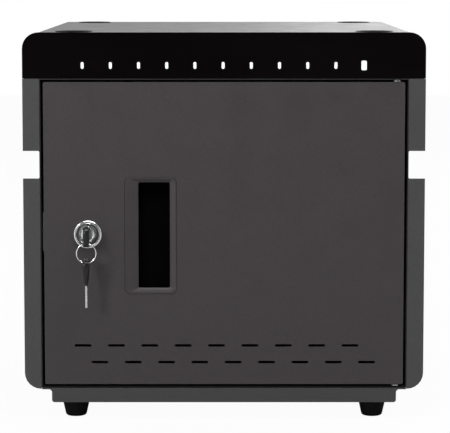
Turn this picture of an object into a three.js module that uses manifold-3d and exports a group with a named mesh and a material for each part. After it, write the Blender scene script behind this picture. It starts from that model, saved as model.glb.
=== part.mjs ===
// Desktop charging cabinet: a sheet-metal box with ten bays behind a locking door.
// Millimetres, +Z up. The door faces -Y and +X is on the viewer's right.
import * as THREE from "three";
import { mergeVertices } from "three/addons/utils/BufferGeometryUtils.js";
import Module from "manifold-3d";

const wasm = await Module();
wasm.setup();

// Overall sizes
const FRAME_HALF = 190;
const BODY_HALF = 174.4;
const TOP_Z = 369.3;
const REAR_REACH = 380;
const KEY_REACH = 35.5;
const SHEET = 1.2;
const GAP = 0.3;
// Depths are counted back from the front plane, which stands here in Y.
const FRONT_Y = (KEY_REACH - REAR_REACH) / 2;

// Front frame
const EAR_BOTTOM = 29.6;
const EAR_SHEET = 1.6;
const FRAME_CORNER = 15.5;
const OPENING_HALF = 173.2;
const EAR_INNER = 174;
const OPENING_TOP = 324.8;
const RAIL_TOP = 325.7;
const STRIP_BOTTOM = 326;
const NOTCH_BOTTOM = 231.3;
const NOTCH_TOP = 257.5;
const RETURN_DEPTH = 10;

// Indicator windows
const WINDOW_PITCH = 26.52;
const WINDOW_FIRST_X = -133.4;
const WINDOW_Z = 338.2;
const WINDOW_W = 2.5;
const WINDOW_H = 6.1;
const POWER_W = 4.8;
const POWER_H = 8.8;
const PORT_COUNT = 10;

// Door
const DOOR_HALF = 170.6;
const DOOR_BOTTOM = 34.2;
const DOOR_TOP = 322.5;
const DOOR_SHEET = 1.5;
const DOOR_DEPTH = 15;
const HINGE_X = 163.5;
const HINGE_DEPTH = 6;
const PIN_R = 2.2;

// Door vents: two staggered rows of round-ended slots
const SLOT_COUNT = 9;
const SLOT_PITCH = 31.8;
const SLOT_LENGTH = 16.1;
const SLOT_HEIGHT = 2.5;
const SLOT_ROWS = [[71.5, -7.1], [55.4, 8.8]];

// Flush pull
const PULL_X = -69.6;
const PULL_Z = 176.8;
const PULL_W = 48.8;
const PULL_H = 111;
const WELL_X = -66.3;
const WELL_W = 29.9;
const WELL_H = 100.8;

// Cam lock and its keys
const LOCK_X = -129;
const LOCK_Z = 178.5;
const LOCK_R = 13.5;
const LOCK_PROUD = 4;
const PLUG_R = 6.6;
const KEY_HOLE_OUT = 26;
const KEY_HOLE_R = 2.6;
const KEY_HOLE_REACH = 4.7;
const RING_R = 9.15;
const RING_WIRE_R = 0.6;
const RING_DROP = 1.2;

// Plinth, floor and feet
const PLINTH_HALF = 164.3;
const PLINTH_BOTTOM = 16.5;
const PLINTH_TOP = 30.4;
const FLOOR_TOP = 31.9;
const FOOT_X = 142.6;
const FOOT_FRONT = 22;
const FOOT_BACK = 350;
const FOOT_TOP_R = 13.1;
const FOOT_BOTTOM_R = 10;
const CUP_R = 17.8;

// Inside
const REAR_OUTER = 376.5;
const BAY_PITCH = 31.8;
const BAY_FRONT = 40;
const BAY_BACK = 280;
const DIVIDER_T = 2;
const DECK_BOTTOM = 324.5;
const PORT_PANEL_FRONT = 285;

// Rear fittings
const FAN_X = 95;
const FAN_Z = 250;
const FAN_SIZE = 80;
const FAN_BORE = 38;
const INLET_X = -120;
const INLET_Z = 72;
const SWITCH_X = -80;
const FLANGE_FRONT = REAR_OUTER + GAP;

const group = new THREE.Group();

// ---- solids ----

function solid(geometry) {
  const bare = geometry.clone();
  bare.deleteAttribute("normal");
  bare.deleteAttribute("uv");
  const welded = mergeVertices(bare, 1e-4);
  const index = welded.index.array;
  const kept = [];
  for (let i = 0; i < index.length; i += 3) {
    const [a, b, c] = [index[i], index[i + 1], index[i + 2]];
    if (a !== b && b !== c && c !== a) kept.push(a, b, c);
  }
  const build = (triangles) =>
    new wasm.Manifold(
      new wasm.Mesh({
        numProp: 3,
        vertProperties: new Float32Array(welded.attributes.position.array),
        triVerts: new Uint32Array(triangles),
      }),
    );
  const made = build(kept);
  if (made.volume() >= 0) return made;
  const turned = [];
  for (let i = 0; i < kept.length; i += 3) {
    turned.push(kept[i], kept[i + 2], kept[i + 1]);
  }
  return build(turned);
}

function join(first, ...rest) {
  return rest.reduce((sum, one) => sum.add(one), first);
}

function cut(first, ...rest) {
  return rest.reduce((left, one) => left.subtract(one), first);
}

function piece(name, body, colour, roughness, metalness) {
  const found = body.getMesh();
  const geometry = new THREE.BufferGeometry();
  const stride = found.numProp;
  const places = new Float32Array((found.vertProperties.length / stride) * 3);
  for (let i = 0; i < places.length / 3; i++) {
    for (let k = 0; k < 3; k++) places[3 * i + k] = found.vertProperties[stride * i + k];
  }
  geometry.setAttribute("position", new THREE.BufferAttribute(places, 3));
  geometry.setIndex(new THREE.BufferAttribute(new Uint32Array(found.triVerts), 1));
  const flat = geometry.toNonIndexed();
  flat.computeVertexNormals();
  const material = new THREE.MeshStandardMaterial({ color: colour, roughness, metalness });
  const mesh = new THREE.Mesh(flat, material);
  mesh.name = name;
  group.add(mesh);
  return mesh;
}

// A box between two x values, two depths and two heights.
function block(x0, x1, d0, d1, z0, z1) {
  const box = new THREE.BoxGeometry(x1 - x0, d1 - d0, z1 - z0);
  box.translate((x0 + x1) / 2, FRONT_Y + (d0 + d1) / 2, (z0 + z1) / 2);
  return solid(box);
}

// A rectangle whose corners are rounded in the order low-low, high-low, high-high, low-high.
function rounded(u0, v0, u1, v1, radii) {
  const [a, b, c, d] = Array.isArray(radii) ? radii : [radii, radii, radii, radii];
  const shape = new THREE.Shape();
  const quarter = Math.PI / 2;
  const corner = (u, v, r, from) => {
    if (r > 0) shape.absarc(u, v, r, from, from + quarter, false);
    else shape.lineTo(u, v);
  };
  shape.moveTo(u0 + a, v0);
  corner(u1 - b, v0 + b, b, -quarter);
  corner(u1 - c, v1 - c, c, 0);
  corner(u0 + d, v1 - d, d, quarter);
  corner(u0 + a, v0 + a, a, 2 * quarter);
  shape.closePath();
  return shape;
}

const TO_FACE = new THREE.Matrix4().makeBasis(
  new THREE.Vector3(1, 0, 0),
  new THREE.Vector3(0, 0, 1),
  new THREE.Vector3(0, -1, 0),
);
const TO_SIDE = new THREE.Matrix4().makeBasis(
  new THREE.Vector3(0, 1, 0),
  new THREE.Vector3(0, 0, 1),
  new THREE.Vector3(1, 0, 0),
);

// Each step makes two facets of a quarter turn.
function extruded(shape, thickness, steps) {
  return new THREE.ExtrudeGeometry(shape, {
    depth: thickness,
    bevelEnabled: false,
    curveSegments: steps,
  });
}

// A shape drawn in x and z, between two depths.
function facing(shape, d0, d1, steps = 2) {
  const made = extruded(shape, d1 - d0, steps).applyMatrix4(TO_FACE);
  return solid(made.translate(0, FRONT_Y + d1, 0));
}

// A shape drawn in x and depth, between two heights.
function lying(shape, z0, z1, steps = 2) {
  return solid(extruded(shape, z1 - z0, steps).translate(0, FRONT_Y, z0));
}

// A shape drawn in depth and z, between two x values.
function standing(shape, x0, x1, steps = 2) {
  const made = extruded(shape, x1 - x0, steps).applyMatrix4(TO_SIDE);
  return solid(made.translate(x0, FRONT_Y, 0));
}

function rodDeep(x, z, r, d0, d1, sides = 32) {
  const rod = new THREE.CylinderGeometry(r, r, d1 - d0, sides);
  return solid(rod.translate(x, FRONT_Y + (d0 + d1) / 2, z));
}

function rodUp(x, d, r, z0, z1, sides = 24) {
  const rod = new THREE.CylinderGeometry(r, r, z1 - z0, sides).rotateX(Math.PI / 2);
  return solid(rod.translate(x, FRONT_Y + d, (z0 + z1) / 2));
}

function rodAcross(d, z, r, x0, x1, sides = 20) {
  const rod = new THREE.CylinderGeometry(r, r, x1 - x0, sides).rotateZ(Math.PI / 2);
  return solid(rod.translate((x0 + x1) / 2, FRONT_Y + d, z));
}

// A turned piece about a deep axis. Each point is [radius, depth].
function turnedDeep(points, x, z, sides = 32) {
  const profile = points.map(([r, d]) => new THREE.Vector2(r, d));
  return solid(new THREE.LatheGeometry(profile, sides).translate(x, FRONT_Y, z));
}

// A turned piece about an upright axis. Each point is [radius, height].
function turnedUp(points, x, d, sides = 32) {
  const profile = points.map(([r, z]) => new THREE.Vector2(r, z));
  const made = new THREE.LatheGeometry(profile, sides).rotateX(Math.PI / 2);
  return solid(made.translate(x, FRONT_Y + d, 0));
}

// A closed ring of skin through loops of equal length, the last joined to the first.
function lofted(loops) {
  const count = loops[0].length;
  const places = loops.flat(2);
  const index = [];
  for (let k = 0; k < loops.length; k++) {
    const next = (k + 1) % loops.length;
    for (let i = 0; i < count; i++) {
      const j = (i + 1) % count;
      const [a, b] = [k * count + i, k * count + j];
      const [c, d] = [next * count + i, next * count + j];
      index.push(a, b, d, a, d, c);
    }
  }
  const geometry = new THREE.BufferGeometry();
  geometry.setAttribute("position", new THREE.Float32BufferAttribute(places, 3));
  geometry.setIndex(index);
  return solid(geometry);
}

// Points round a rounded rectangle in x and z at one depth, the same number for any radius.
function loopAt(x0, z0, x1, z1, r, d) {
  const points = [];
  const centres = [[x1 - r, z0 + r], [x1 - r, z1 - r], [x0 + r, z1 - r], [x0 + r, z0 + r]];
  centres.forEach(([cx, cz], k) => {
    for (let i = 0; i <= 5; i++) {
      const turn = Math.PI * (-0.5 + 0.5 * k + 0.1 * i);
      points.push([cx + r * Math.cos(turn), FRONT_Y + d, cz + r * Math.sin(turn)]);
    }
  });
  return points;
}

// A round-ended slot in x and z.
function slotAt(x, z, length, height) {
  return rounded(x - length / 2, z - height / 2, x + length / 2, z + height / 2, height / 2 - 0.01);
}

// ---- colours ----

const COAT = 0x4a4646;
const COAT_DARK = 0x38373a;
const BLACK = 0x0d0c0d;
const RUBBER = 0x101011;
const CHROME = 0xc9ccd0;
const ZINC = 0xa9acb0;

// ---- front frame and indicator strip ----

const windows = [];
for (let i = 0; i < PORT_COUNT; i++) {
  windows.push({ x: WINDOW_FIRST_X + WINDOW_PITCH * i, w: WINDOW_W, h: WINDOW_H });
}
windows.push({ x: WINDOW_FIRST_X + WINDOW_PITCH * PORT_COUNT, w: POWER_W, h: POWER_H });

function windowShape({ x, w, h }, extra) {
  const [a, b] = [w / 2 + extra, h / 2 + extra];
  return rounded(x - a, WINDOW_Z - b, x + a, WINDOW_Z + b, 0.9 + extra);
}

function frontFrame() {
  const outline = rounded(
    -FRAME_HALF, EAR_BOTTOM, FRAME_HALF, RAIL_TOP, [FRAME_CORNER, FRAME_CORNER, 0, 0],
  );
  let ears = facing(outline, 0, EAR_SHEET, 3);
  ears = cut(ears, block(-EAR_INNER, EAR_INNER, -1, 4, 20, OPENING_TOP));
  for (const side of [-1, 1]) {
    const reach = [side * BODY_HALF, side * (FRAME_HALF + 5)].sort((a, b) => a - b);
    const notch = rounded(reach[0], NOTCH_BOTTOM, reach[1], NOTCH_TOP, 1.2);
    ears = cut(ears, facing(notch, -1, 3, 2));
    const wall = [side * OPENING_HALF, side * BODY_HALF].sort((a, b) => a - b);
    ears = join(ears, block(wall[0], wall[1], 0.8, RETURN_DEPTH, PLINTH_TOP + GAP, RAIL_TOP));
    ears = join(ears, block(wall[0], wall[1], 2.6, RETURN_DEPTH, RAIL_TOP - 1, TOP_Z - 12 - GAP));
  }
  const rail = join(
    block(-OPENING_HALF + GAP, OPENING_HALF - GAP, 0.5, 14, OPENING_TOP, RAIL_TOP),
    block(-OPENING_HALF - 0.5, OPENING_HALF + 0.5, 0.5, RETURN_DEPTH, OPENING_TOP, RAIL_TOP),
  );
  const step = block(-FRAME_HALF, FRAME_HALF, 0.5, 3.8, OPENING_TOP + 0.1, RAIL_TOP);
  const bandTop = TOP_Z - 0.4;
  const band = facing(
    rounded(-188.8, OPENING_TOP + 0.2, 188.8, bandTop, [0, 0, 14.6, 14.6]), 2.3, 3.8, 3,
  );
  const window = block(-140, 140, 2, 4, 331.5, 344.3);
  const pinHole = rodUp(HINGE_X, HINGE_DEPTH, PIN_R + GAP, 320, 330);
  return cut(join(ears, rail, step, cut(band, window)), pinHole);
}

piece("front_frame", frontFrame(), COAT, 0.6, 0.3);

function indicatorPanel() {
  const outline = rounded(
    -FRAME_HALF, STRIP_BOTTOM, FRAME_HALF, TOP_Z, [0, 0, FRAME_CORNER, FRAME_CORNER],
  );
  const plate = facing(outline, 0, 2, 4);
  return cut(plate, ...windows.map((one) => facing(windowShape(one, GAP), -1, 3, 1)));
}

piece("indicator_panel", indicatorPanel(), BLACK, 0.08, 0);

function lightGuide() {
  const rail = block(-138, 138, 4.3, 7, 333, 343);
  return join(rail, ...windows.map((one) => facing(windowShape(one, 0), 0.25, 5, 1)));
}

piece("light_guide_strip", lightGuide(), 0xf2f4f4, 0.35, 0);

const lamps = windows.map(({ x }) => block(x - 1.6, x + 1.6, 7.6, 8.8, 336.5, 339.3));
piece("indicator_board", join(block(-140, 140, 8.6, 10.2, 330, 346), ...lamps), 0x1f5a3a, 0.5, 0);

// ---- cabinet panels ----

const WALL_FRONT = RETURN_DEPTH + GAP;
const WALL_BACK = REAR_OUTER - SHEET - GAP;
const CUP_PLACES = [];
for (const [word, d] of [["front", FOOT_FRONT], ["rear", FOOT_BACK]]) {
  CUP_PLACES.push({ name: `${word}_left`, x: -FOOT_X, d });
  CUP_PLACES.push({ name: `${word}_right`, x: FOOT_X, d });
}

function topPanel() {
  const front = 4.1;
  const skin = block(-BODY_HALF, BODY_HALF, front, REAR_OUTER, TOP_Z - SHEET, TOP_Z);
  const lip = block(-BODY_HALF, BODY_HALF, REAR_OUTER - SHEET, REAR_OUTER, 354, TOP_Z - 0.5);
  const low = TOP_Z - 12;
  const sides = [-1, 1].map((side) => {
    const at = [side * (BODY_HALF - SHEET), side * BODY_HALF].sort((a, b) => a - b);
    return block(at[0], at[1], front, REAR_OUTER, low, TOP_Z - 0.5);
  });
  const holes = CUP_PLACES.map(({ x, d }) => rodUp(x, d, 15.8, TOP_Z - 3, TOP_Z + 1, 32));
  return cut(join(skin, lip, ...sides), ...holes);
}

piece("top_panel", topPanel(), COAT, 0.6, 0.3);

// Side walls: louvre slots low down, and an opening for the grip.
const GRIP_FRONT = 135;
const GRIP_BACK = 235;
const WALL_TOP = TOP_Z - 12 - GAP;

function sidePanel(side) {
  const at = [side * OPENING_HALF, side * BODY_HALF].sort((a, b) => a - b);
  let wall = block(at[0], at[1], WALL_FRONT, WALL_BACK, PLINTH_TOP + GAP, WALL_TOP);
  const grip = rounded(GRIP_FRONT - GAP, NOTCH_BOTTOM - GAP, GRIP_BACK + GAP, NOTCH_TOP + GAP, 6);
  wall = cut(wall, standing(grip, at[0] - 1, at[1] + 1, 2));
  for (let row = 0; row < 2; row++) {
    for (let i = 0; i < 12; i++) {
      const d = 70 + 20 * i;
      const z = 62 + 38 * row;
      wall = cut(wall, standing(rounded(d, z, d + 4, z + 26, 1.9), at[0] - 1, at[1] + 1, 1));
    }
  }
  return wall;
}

piece("side_panel_left", sidePanel(-1), COAT, 0.6, 0.3);
piece("side_panel_right", sidePanel(1), COAT, 0.6, 0.3);

function sideGrip(side) {
  const across = (from, to) => [side * from, side * to].sort((a, b) => a - b);
  const around = (more, r) =>
    rounded(GRIP_FRONT - more, NOTCH_BOTTOM - more, GRIP_BACK + more, NOTCH_TOP + more, r);
  const shell = standing(around(0, 5.5), ...across(BODY_HALF - 12.5, BODY_HALF + 1.3), 2);
  const lip = standing(around(2.5, 7), ...across(BODY_HALF + GAP, BODY_HALF + 1.3), 2);
  const well = standing(around(-1.5, 4.5), ...across(BODY_HALF - 11, BODY_HALF + 3), 2);
  return cut(join(shell, lip), well);
}

piece("side_grip_left", sideGrip(-1), BLACK, 0.5, 0);
piece("side_grip_right", sideGrip(1), BLACK, 0.5, 0);

function floorPanel() {
  const plate = block(-172.9, 172.9, 2, WALL_BACK, PLINTH_TOP + GAP, FLOOR_TOP);
  const hole = rodUp(HINGE_X, HINGE_DEPTH, PIN_R + GAP, 25, 35);
  const slots = [];
  for (let i = 0; i < 8; i++) {
    const d = 80 + 24 * i;
    slots.push(lying(rounded(-60, d, 60, d + 4, 1.9), 28, 34, 1));
  }
  return cut(plate, hole, ...slots);
}

piece("floor_panel", floorPanel(), COAT_DARK, 0.6, 0.3);

// The plinth flares out under the body with a small fillet on each side, and its lower corners are round.
function trayOutline() {
  const [side, low, top, r] = [PLINTH_HALF, PLINTH_BOTTOM, PLINTH_TOP, 2.5];
  const lip = top - 1.4;
  const shape = new THREE.Shape();
  shape.moveTo(-side + r, low);
  shape.lineTo(side - r, low);
  shape.absarc(side - r, low + r, r, -Math.PI / 2, 0, false);
  shape.lineTo(side, lip - 3);
  shape.absarc(side + 3, lip - 3, 3, Math.PI, Math.PI / 2, true);
  shape.lineTo(EAR_INNER - GAP, lip);
  shape.lineTo(EAR_INNER - GAP, top);
  shape.lineTo(-EAR_INNER + GAP, top);
  shape.lineTo(-EAR_INNER + GAP, lip);
  shape.lineTo(-side - 3, lip);
  shape.absarc(-side - 3, lip - 3, 3, Math.PI / 2, 0, true);
  shape.lineTo(-side, low + r);
  shape.absarc(-side + r, low + r, r, Math.PI, 1.5 * Math.PI, false);
  return shape;
}

function baseTray() {
  const hollow = rounded(-PLINTH_HALF + 1.4, 1.6, PLINTH_HALF - 1.4, 370.6, 1);
  const tray = cut(
    facing(trayOutline(), 0.2, 372, 4), lying(hollow, PLINTH_BOTTOM + 1.4, 40, 1),
  );
  const slots = [];
  for (let i = 0; i < 8; i++) {
    const d = 80 + 24 * i;
    slots.push(lying(rounded(-60, d, 60, d + 4, 1.9), 10, 20, 1));
  }
  const holes = CUP_PLACES.map(({ x, d }) => rodUp(x, d, 2.3, 10, 20, 16));
  return cut(tray, rodUp(HINGE_X, HINGE_DEPTH, 2.8, 28.3, 35), ...slots, ...holes);
}

piece("base_tray", baseTray(), COAT, 0.6, 0.3);

const upperDeck = cut(
  block(-172.9, 172.9, 14.3, WALL_BACK, DECK_BOTTOM, DECK_BOTTOM + SHEET),
  ...[-120, -60, 0, 60, 120].map((x) => lying(rounded(x - 15, 300, x + 15, 330, 3), 320, 330, 1)),
);
piece("upper_deck", upperDeck, COAT_DARK, 0.6, 0.3);

function rearPanel() {
  let wall = block(-BODY_HALF, BODY_HALF, REAR_OUTER - SHEET, REAR_OUTER, PLINTH_TOP + GAP, 353.7);
  wall = cut(wall, rodDeep(FAN_X, FAN_Z, FAN_BORE, 370, 380, 32));
  for (const [x, z] of fanCorners()) wall = cut(wall, rodDeep(x, z, 2.4, 370, 380, 12));
  wall = cut(wall, block(INLET_X - 13.9, INLET_X + 13.9, 370, 380, INLET_Z - 10.3, INLET_Z + 10.3));
  wall = cut(wall, block(SWITCH_X - 7, SWITCH_X + 7, 370, 380, INLET_Z - 10.3, INLET_Z + 10.3));
  for (let row = 0; row < 5; row++) {
    for (let i = 0; i < 4; i++) {
      const x = -132 + 26 * i;
      const z = 200 + 14 * row;
      wall = cut(wall, facing(slotAt(x, z, 20, 4), 370, 380, 1));
    }
  }
  return wall;
}

function fanCorners() {
  const half = 35.75;
  return [[-1, -1], [1, -1], [1, 1], [-1, 1]].map(([a, b]) => [FAN_X + a * half, FAN_Z + b * half]);
}

piece("rear_panel", rearPanel(), COAT, 0.6, 0.3);

// ---- feet and stacking cups ----

const footProfile = [
  [0, 9], [3.6, 9], [3.6, 0], [FOOT_BOTTOM_R - 1.4, 0], [FOOT_BOTTOM_R - 0.3, 0.5],
  [FOOT_BOTTOM_R + 0.1, 1.6], [FOOT_TOP_R, PLINTH_BOTTOM - 2], [FOOT_TOP_R, PLINTH_BOTTOM - GAP],
  [0, PLINTH_BOTTOM - GAP],
];
const cupProfile = [
  [0, TOP_Z - 3.6], [15.5, TOP_Z - 3.6], [15.5, TOP_Z + 0.2], [CUP_R, TOP_Z + 0.2],
  [CUP_R - 0.4, TOP_Z + 0.7], [14.6, TOP_Z + 0.7], [13.6, TOP_Z - 1.6], [0, TOP_Z - 1.6],
];

for (const { name, x, d } of CUP_PLACES) {
  piece(`foot_${name}`, turnedUp(footProfile, x, d, 24), RUBBER, 0.85, 0);
  piece(`stacking_cup_${name}`, turnedUp(cupProfile, x, d, 28), RUBBER, 0.7, 0);
}

// ---- hinge pins and lock strike ----

const lowerPin = join(
  rodUp(HINGE_X, HINGE_DEPTH, PIN_R, 28.9, 39), rodUp(HINGE_X, HINGE_DEPTH, 4.2, 32.2, 33.3),
);
const upperPin = join(
  rodUp(HINGE_X, HINGE_DEPTH, PIN_R, 317, 328), rodUp(HINGE_X, HINGE_DEPTH, 4.2, 322.8, 323.9),
);
piece("hinge_pin_lower", lowerPin, ZINC, 0.35, 0.9);
piece("hinge_pin_upper", upperPin, ZINC, 0.35, 0.9);

const strike = join(
  block(-172.9, -160, 16, 17.5, 160, 197), block(-172.9, -171.4, 16, 30, 160, 197),
);
piece("lock_strike", strike, ZINC, 0.4, 0.8);

// ---- bays ----

function rackGrooves(z0, z1) {
  const grooves = [];
  for (let i = 0; i <= PORT_COUNT; i++) {
    const x = BAY_PITCH * (i - PORT_COUNT / 2);
    grooves.push(block(x - 1.3, x + 1.3, BAY_FRONT - 6, BAY_BACK + 5, z0, z1));
  }
  return grooves;
}

const RACK_HALF = 163.5;
const lowerRack = cut(
  block(-RACK_HALF, RACK_HALF, BAY_FRONT - 4, BAY_BACK + 3, FLOOR_TOP + GAP, FLOOR_TOP + 4.6),
  ...rackGrooves(FLOOR_TOP + 1.6, FLOOR_TOP + 6),
);
const upperRack = cut(
  block(-RACK_HALF, RACK_HALF, BAY_FRONT - 4, BAY_BACK + 3, DECK_BOTTOM - 4.6, DECK_BOTTOM - GAP),
  ...rackGrooves(DECK_BOTTOM - 6, DECK_BOTTOM - 1.6),
);
piece("divider_rack_lower", lowerRack, 0x2a2b2e, 0.55, 0);
piece("divider_rack_upper", upperRack, 0x2a2b2e, 0.55, 0);

// Each divider is a thin plate with a finger cut-out in its front edge.
const DIVIDER_LOW = FLOOR_TOP + 1.9;
const DIVIDER_HIGH = DECK_BOTTOM - 1.9;

function divider(x) {
  const plate = rounded(BAY_FRONT, DIVIDER_LOW, BAY_BACK, DIVIDER_HIGH, 2);
  const scoop = rounded(BAY_FRONT - 30, 140, BAY_FRONT + 18, 216, 14);
  const half = DIVIDER_T / 2;
  return cut(standing(plate, x - half, x + half, 1), standing(scoop, x - 4, x + 4, 2));
}

for (let i = 0; i <= PORT_COUNT; i++) {
  const x = BAY_PITCH * (i - PORT_COUNT / 2);
  piece(`divider_${i + 1}`, divider(x), 0x3b3c40, 0.5, 0);
}

// ---- ports and electronics ----

const PORT_Z = 60;
const ports = [];
for (let i = 0; i < PORT_COUNT; i++) ports.push(BAY_PITCH * (i - (PORT_COUNT - 1) / 2));

const portPanel = cut(
  block(-172.9, 172.9, PORT_PANEL_FRONT, PORT_PANEL_FRONT + SHEET, FLOOR_TOP + GAP, DECK_BOTTOM - GAP),
  ...ports.map((x) => block(x - 6.8, x + 6.8, 280, 290, PORT_Z - 3.8, PORT_Z + 3.8)),
  ...[110, 270].flatMap((z) =>
    ports.map((x) => facing(slotAt(x, z, 20, 5), 280, 290, 1)),
  ),
);
piece("port_panel", portPanel, COAT_DARK, 0.6, 0.3);

function portRow() {
  const board = block(-165, 165, 292.5, 294.1, PORT_Z - 14, PORT_Z + 14);
  const shells = ports.map((x) => block(x - 6.4, x + 6.4, 284.2, 293, PORT_Z - 3.4, PORT_Z + 3.4));
  const mouths = ports.map((x) => facing(slotAt(x, PORT_Z, 9, 3.2), 280, 290.5, 2));
  return cut(join(board, ...shells), ...mouths);
}

piece("usb_port_row", portRow(), 0xb9bcc0, 0.4, 0.6);

function ribbed(x0, x1, d0, d1, z0, z1, count) {
  const body = lying(rounded(x0, d0, x1, d1, 3), z0, z1, 1);
  const pitch = (x1 - x0) / (count + 1);
  const cuts = [];
  for (let i = 1; i <= count; i++) {
    const x = x0 + pitch * i;
    cuts.push(block(x - 1.5, x + 1.5, d0 + 8, d1 - 8, z1 - 2.5, z1 + 1));
  }
  return cut(body, ...cuts);
}

piece("charging_hub_case", ribbed(-60, 165, 300, 356, 32.3, 150, 8), 0x26272a, 0.5, 0.2);
piece("power_supply_case", ribbed(-165, -66, 298, 348, 32.3, 120, 5), 0x9a9da1, 0.4, 0.7);

// ---- fan ----

const FAN_FRONT = 350;
const FAN_BACK = REAR_OUTER - SHEET - GAP;

function fanFrame() {
  const half = FAN_SIZE / 2;
  const plan = rounded(FAN_X - half, FAN_Z - half, FAN_X + half, FAN_Z + half, 4);
  let frame = facing(plan, FAN_FRONT, FAN_BACK, 2);
  frame = cut(frame, rodDeep(FAN_X, FAN_Z, FAN_BORE, FAN_FRONT - 1, FAN_BACK + 1, 32));
  for (const [x, z] of fanCorners()) {
    frame = cut(frame, rodDeep(x, z, 2.2, FAN_FRONT - 1, FAN_BACK + 1, 12));
  }
  const arms = [0, 90].map((turn) => {
    const arm = new THREE.BoxGeometry(2 * FAN_BORE + 1, 2.4, 4).rotateY(THREE.MathUtils.degToRad(turn + 30));
    return solid(arm.translate(FAN_X, FRONT_Y + FAN_FRONT + 1.2, FAN_Z));
  });
  const plate = rodDeep(FAN_X, FAN_Z, 17, FAN_FRONT, FAN_FRONT + 2.4, 28);
  const shaft = rodDeep(FAN_X, FAN_Z, 1.6, FAN_FRONT + 1, FAN_FRONT + 14, 12);
  return join(frame, ...arms, plate, shaft);
}

piece("fan_frame", fanFrame(), BLACK, 0.5, 0);

function fanRotor() {
  const [near, far] = [FAN_FRONT + 3, FAN_BACK - 1.5];
  const hub = rodDeep(FAN_X, FAN_Z, 16, near, far, 28);
  const blades = [];
  for (let i = 0; i < 7; i++) {
    const blade = new THREE.BoxGeometry(20.5, 1.4, 22).rotateX(THREE.MathUtils.degToRad(38));
    blade.translate(25.5, 0, 0).rotateY((2 * Math.PI * i) / 7);
    blades.push(solid(blade.translate(FAN_X, FRONT_Y + (near + far) / 2, FAN_Z)));
  }
  const bore = rodDeep(FAN_X, FAN_Z, 1.9, near - 1, FAN_FRONT + 15, 12);
  return cut(join(hub, ...blades), bore);
}

piece("fan_rotor", fanRotor(), 0x17181a, 0.4, 0);

// The guard's wires stand on four lugs that lie on the rear panel.
function fanGuard() {
  const depth = FLANGE_FRONT + 1;
  const rings = [11, 20, 29, 38].map((r) => {
    const ring = new THREE.TorusGeometry(r, 0.8, 5, 24).rotateX(Math.PI / 2);
    return solid(ring.translate(FAN_X, FRONT_Y + depth, FAN_Z));
  });
  const spokes = [45, 135].map((turn) => {
    const spoke = new THREE.CylinderGeometry(0.9, 0.9, 101, 6).rotateZ(Math.PI / 2);
    spoke.rotateY(THREE.MathUtils.degToRad(turn));
    return solid(spoke.translate(FAN_X, FRONT_Y + depth + 0.5, FAN_Z));
  });
  const lugs = fanCorners().map(([x, z]) => rodDeep(x, z, 4, FLANGE_FRONT, FLANGE_FRONT + 2, 12));
  return join(rings[0], ...rings.slice(1), ...spokes, ...lugs);
}

piece("fan_guard", fanGuard(), CHROME, 0.25, 1);

// ---- mains inlet and switch ----

function inletSocket() {
  const around = (w, h, r) => rounded(INLET_X - w, INLET_Z - h, INLET_X + w, INLET_Z + h, r);
  const shell = facing(around(13.6, 10, 1.5), 356, FLANGE_FRONT + 1, 1);
  const flange = facing(around(16, 12.5, 2.5), FLANGE_FRONT, FLANGE_FRONT + 1.7, 2);
  const well = facing(around(12, 8.2, [1, 1, 5, 5]), 360, 385, 1);
  const pins = [[-7, -1], [7, -1], [0, 3]].map(([x, z]) =>
    block(INLET_X + x - 1, INLET_X + x + 1, 358, 371, INLET_Z + z - 2, INLET_Z + z + 2),
  );
  return join(cut(join(shell, flange), well), ...pins);
}

piece("inlet_socket", inletSocket(), BLACK, 0.45, 0);

// The rocker pivots on two stubs in the switch well. At rest it is off, with its lower end raised.
const ROCKER_RISE = 4.4;
const ROCKER_DEPTH = REAR_REACH - ROCKER_RISE;

function switchHousing() {
  const around = (w, h, r) => rounded(SWITCH_X - w, INLET_Z - h, SWITCH_X + w, INLET_Z + h, r);
  const shell = facing(around(6.7, 10, 1), 360, FLANGE_FRONT + 1, 1);
  const flange = facing(around(8.5, 12.5, 2), FLANGE_FRONT, FLANGE_FRONT + 1.5, 2);
  const well = facing(around(5.3, 8.8, 0.6), 366, 385, 1);
  const stub = rodAcross(ROCKER_DEPTH, INLET_Z, 1, SWITCH_X - 6, SWITCH_X + 6, 12);
  const between = block(SWITCH_X - 4.2, SWITCH_X + 4.2, 360, 390, INLET_Z - 3, INLET_Z + 3);
  return join(cut(join(shell, flange), well), cut(stub, between));
}

piece("switch_housing", switchHousing(), BLACK, 0.45, 0);

function powerRocker() {
  const shape = new THREE.Shape();
  const outline = [[ROCKER_RISE, -7.15], [2.6, 0.25], [2.26, 8.09], [-0.5, 7.6], [-4, 4], [-4, -4]];
  outline.push([-0.5, -7.6], [2.26, -8.0]);
  outline.forEach(([deep, up], i) => {
    if (i === 0) shape.moveTo(ROCKER_DEPTH + deep, INLET_Z + up);
    else shape.lineTo(ROCKER_DEPTH + deep, INLET_Z + up);
  });
  shape.closePath();
  const body = standing(shape, SWITCH_X - 5, SWITCH_X + 5);
  const sockets = [[-6, -3.9], [3.9, 6]].map(([a, b]) =>
    rodAcross(ROCKER_DEPTH, INLET_Z, 1.3, SWITCH_X + a, SWITCH_X + b, 12),
  );
  return cut(body, ...sockets);
}

piece("power_rocker", powerRocker(), 0xa81818, 0.4, 0);

// ---- door ----

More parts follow.
